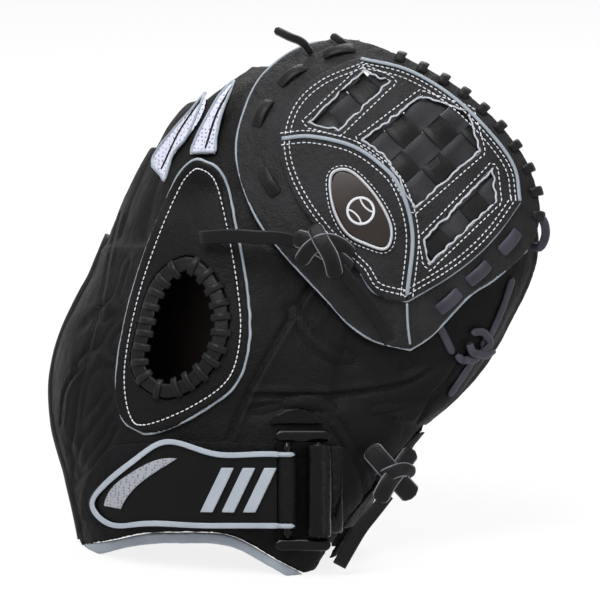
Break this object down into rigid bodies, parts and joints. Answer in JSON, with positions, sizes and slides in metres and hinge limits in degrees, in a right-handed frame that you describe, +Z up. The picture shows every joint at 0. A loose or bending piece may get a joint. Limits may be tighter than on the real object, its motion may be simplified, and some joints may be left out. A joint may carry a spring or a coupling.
{
  "type": "baseball glove",
  "caption": "Left-hand baseball glove in black leather with a basket-weave web, laced finger hole and buckled hook-and-loop wrist strap.",
  "frame": {"origin": "centre of the hand opening, level with the surface the heel stands on", "axes": "+Z up the fingers, +Y from the back of the hand towards the pocket, +X towards the thumb side"},
  "size_m": [0.2833, 0.19, 0.2856],
  "materials": {
    "shell_leather": "matte oiled",
    "lining_leather": "matte",
    "lace_leather": "satin rawhide",
    "mesh_fabric": "open knit",
    "grey_trim": "satin rolled piping",
    "grey_rubber": "satin moulded",
    "black_rubber": "satin moulded",
    "black_plastic": "glossy",
    "hook_and_loop": "matte pile",
    "felt": "wool felt",
    "badge_patch": "embossed satin"
  },
  "bodies": {
    "hand": {"buckle_keeper": "shell_leather", "finger_hole_lacing": "lace_leather", "finger_hole_pad": "shell_leather", "finger_hole_piping": "grey_trim", "finger_hole_rim": "shell_leather", "finger_walls": "shell_leather", "fingertip_caps": "shell_leather", "hand_back": "shell_leather", "hand_edge_welt": "shell_leather", "hand_lining": "lining_leather", "heel_lace_knot": "lace_leather", "heel_pad": "felt", "index_back": "shell_leather", "index_palm": "shell_leather", "index_web_lace": "lace_leather", "keeper_patch": "shell_leather", "knot_tail_left": "lace_leather", "knot_tail_low": "lace_leather", "mesh_insert_index": "mesh_fabric", "mesh_insert_middle": "mesh_fabric", "middle_back": "shell_leather", "middle_palm": "shell_leather", "palm_leather": "shell_leather", "palm_lining": "lining_leather", "palm_pad": "felt", "pinky_back": "shell_leather", "pinky_palm": "shell_leather", "ring_back": "shell_leather", "ring_palm": "shell_leather", "thumb_knot_tail": "lace_leather", "thumb_web_lace": "lace_leather", "web_badge": "badge_patch", "web_badge_panel": "shell_leather", "web_badge_rim": "grey_rubber", "web_band_piping": "grey_trim", "web_cross_straps": "shell_leather", "web_flange": "shell_leather", "web_frame": "shell_leather", "web_knot": "lace_leather", "web_long_straps": "shell_leather", "web_rim_lacing": "lace_leather", "web_top_piping": "grey_trim", "wrist_band": "hook_and_loop", "wrist_binding": "grey_trim", "wrist_collar": "felt"},
    "thumb": {"thumb_back": "shell_leather", "thumb_edge_wall": "shell_leather", "thumb_lining": "lining_leather", "thumb_pad": "felt", "thumb_palm": "shell_leather", "thumb_tip_cap": "shell_leather"},
    "buckle": {"buckle_ring": "black_plastic"},
    "strap": {"hook_pad": "hook_and_loop", "strap_core": "shell_leather", "strap_tab": "black_rubber", "strap_rim": "grey_rubber", "strap_inlay": "grey_rubber", "strap_motif": "grey_rubber"}
  },
  "joints": [
    {"name": "glove_close", "type": "hinge", "parent": "hand", "child": "thumb", "pos_m": [0.065, 0.01528, 0.08546], "axis": [0.2504, 0.2013, 0.947], "range_deg": [0, 25]},
    {"name": "buckle_swing", "type": "hinge", "parent": "hand", "child": "buckle", "pos_m": [0.0605, -0.0492, 0.04856], "axis": [0, 0.2079, 0.9781], "range_deg": [0, 25]},
    {"name": "strap_peel", "type": "hinge", "parent": "buckle", "child": "strap", "pos_m": [0.043, -0.0492, 0.04856], "axis": [0, 0.2079, 0.9781], "range_deg": [0, 120]}
  ]
}
